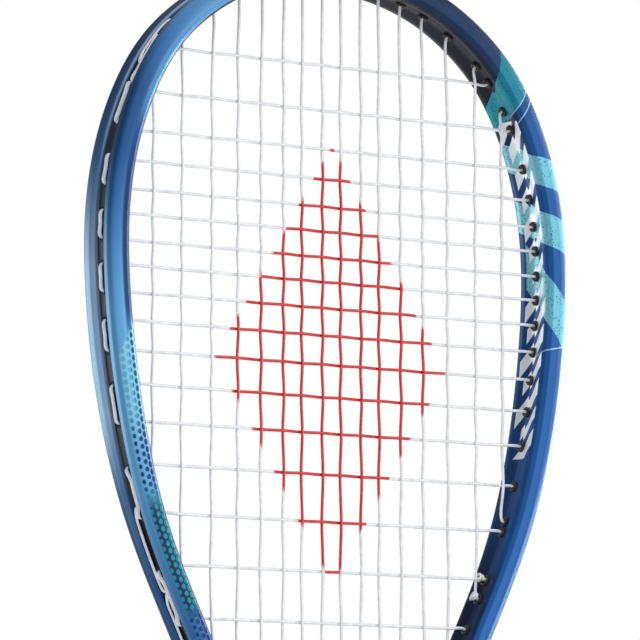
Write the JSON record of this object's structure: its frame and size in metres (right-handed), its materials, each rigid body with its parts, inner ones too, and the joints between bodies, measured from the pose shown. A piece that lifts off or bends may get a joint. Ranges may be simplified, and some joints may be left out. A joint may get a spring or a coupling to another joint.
{
  "type": "squash racket",
  "caption": "Strung squash racket: hollow carbon hoop with an open throat, bridge, bumper, grommet strips, woven strings and a wrapped grip.",
  "frame": {"origin": "centre of the butt cap's end face", "axes": "+Z along the racket from the butt to the top of the head, X across the head, Y across the beam, strings in the plane Y = 0"},
  "size_m": [0.2146, 0.0332, 0.686],
  "materials": {
    "frame_paint": "glossy metallic blue lacquer over carbon fibre",
    "grommet_nylon": "black moulded nylon",
    "string": "white multifilament string with a glossy coat",
    "handle_foam": "rigid polyurethane foam",
    "cap_plastic": "black moulded plastic, fine texture",
    "badge_plastic": "blue domed badge, blank",
    "staple_steel": "drawn steel wire",
    "grip_tape": "perforated polyurethane grip, slightly tacky",
    "finishing_tape": "stretched vinyl tape",
    "collar_rubber": "soft moulded rubber"
  },
  "bodies": {
    "root": {"frame_tube": "frame_paint", "throat_bridge": "frame_paint", "bumper_guard": "grommet_nylon", "side_grommet_strip_left": "grommet_nylon", "side_grommet_strip_right": "grommet_nylon", "lower_grommet_strip_left": "grommet_nylon", "lower_grommet_strip_right": "grommet_nylon", "bridge_grommet_strip": "grommet_nylon", "main_string": "string", "cross_string": "string", "handle_core": "handle_foam", "butt_cap": "cap_plastic", "butt_badge": "badge_plastic", "butt_staple_left": "staple_steel", "butt_staple_right": "staple_steel", "grip_wrap": "grip_tape", "grip_finishing_tape": "finishing_tape", "grip_collar": "collar_rubber"}
  },
  "joints": []
}
